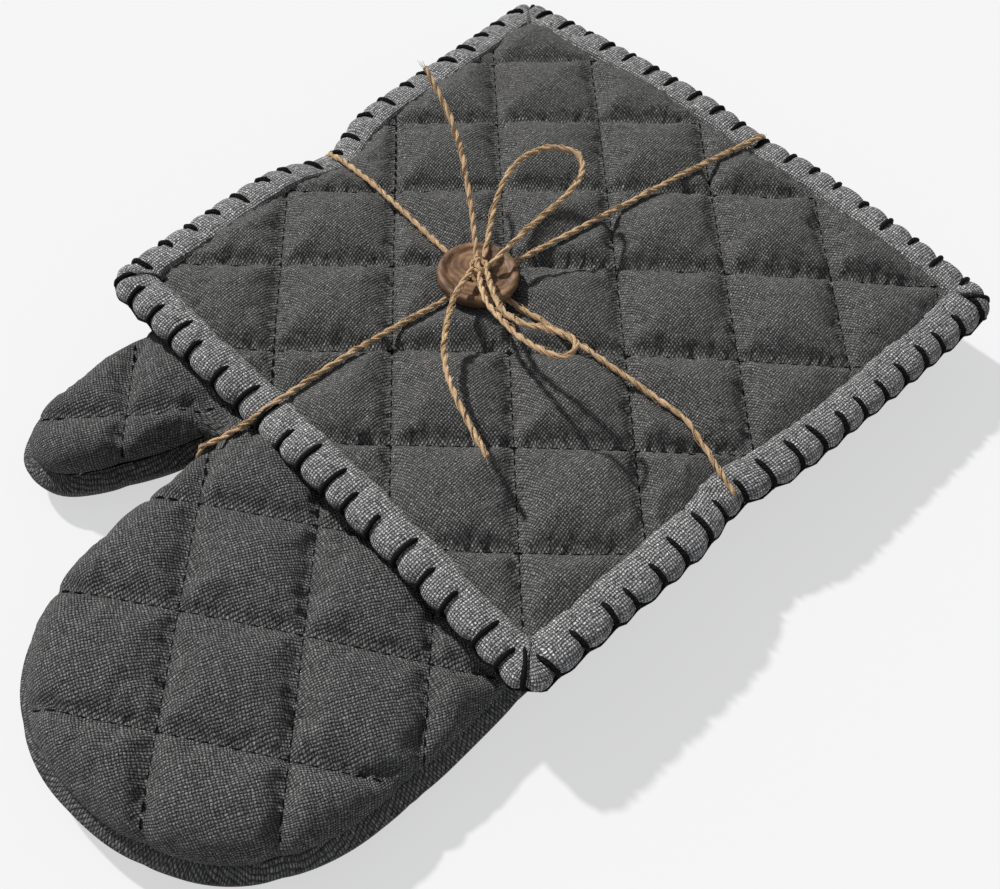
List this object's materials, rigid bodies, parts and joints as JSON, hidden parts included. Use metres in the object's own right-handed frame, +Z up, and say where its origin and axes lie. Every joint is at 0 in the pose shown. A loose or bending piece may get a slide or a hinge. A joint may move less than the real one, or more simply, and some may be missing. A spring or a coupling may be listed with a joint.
{
  "type": "tied oven mitt and pot holder set",
  "caption": "Quilted oven mitt lying under a square quilted pot holder, tied crosswise with twine in a bow over a wooden button.",
  "frame": {"origin": "middle of the footprint, on the surface that the set lies on", "axes": "+Y from the fingertips to the cuff, +Z up out of the back of the mitt, the thumb on the -X side"},
  "size_m": [0.213, 0.3215, 0.0719],
  "materials": {
    "cover_fabric": "plain-woven charcoal cotton with grey flecks",
    "batting": "soft off-white wadding",
    "lining_fabric": "plain dark cotton",
    "binding_fabric": "plain-woven grey chambray, heathered",
    "stitch_thread": "thick black cotton thread",
    "quilting_thread": "thin black sewing thread",
    "wood": "turned brown wood, oiled, end-grain rings",
    "twine": "two-ply jute twine, hairy"
  },
  "bodies": {
    "hand": {"hand_back_cover": "cover_fabric", "hand_back_batting": "batting", "hand_back_lining": "lining_fabric", "hand_palm_cover": "cover_fabric", "hand_palm_batting": "batting", "hand_palm_lining": "lining_fabric", "hand_quilting_thread": "quilting_thread", "cuff_binding": "binding_fabric", "cuff_blanket_stitch": "stitch_thread", "holder_top_cover": "cover_fabric", "holder_batting": "batting", "holder_back_cover": "cover_fabric", "holder_binding": "binding_fabric", "holder_blanket_stitch": "stitch_thread", "holder_quilting_thread": "quilting_thread", "wooden_button": "wood", "twine_wrap_lengthwise": "twine", "twine_wrap_crosswise": "twine", "twine_knot": "twine", "twine_tail_upper": "twine", "twine_tail_lower": "twine", "twine_bow_loop_upper": "twine", "twine_bow_loop_lower": "twine"},
    "fingers": {"fingers_back_cover": "cover_fabric", "fingers_back_batting": "batting", "fingers_back_lining": "lining_fabric", "fingers_palm_cover": "cover_fabric", "fingers_palm_batting": "batting", "fingers_palm_lining": "lining_fabric", "fingers_quilting_thread": "quilting_thread"},
    "thumb": {"thumb_back_cover": "cover_fabric", "thumb_back_batting": "batting", "thumb_back_lining": "lining_fabric", "thumb_palm_cover": "cover_fabric", "thumb_palm_batting": "batting", "thumb_palm_lining": "lining_fabric", "thumb_quilting_thread": "quilting_thread"}
  },
  "joints": [
    {"name": "thumb_flex", "type": "hinge", "parent": "hand", "child": "thumb", "pos_m": [-0.077, -0.06, 0.025], "axis": [-0.9864, 0.1644, 0], "range_deg": [0, 35], "stiffness_Nm_per_rad": 0.15},
    {"name": "finger_flex", "type": "hinge", "parent": "hand", "child": "fingers", "pos_m": [0.02, -0.084, 0.0265], "axis": [-1, 0, 0], "range_deg": [0, 30], "stiffness_Nm_per_rad": 0.5}
  ]
}
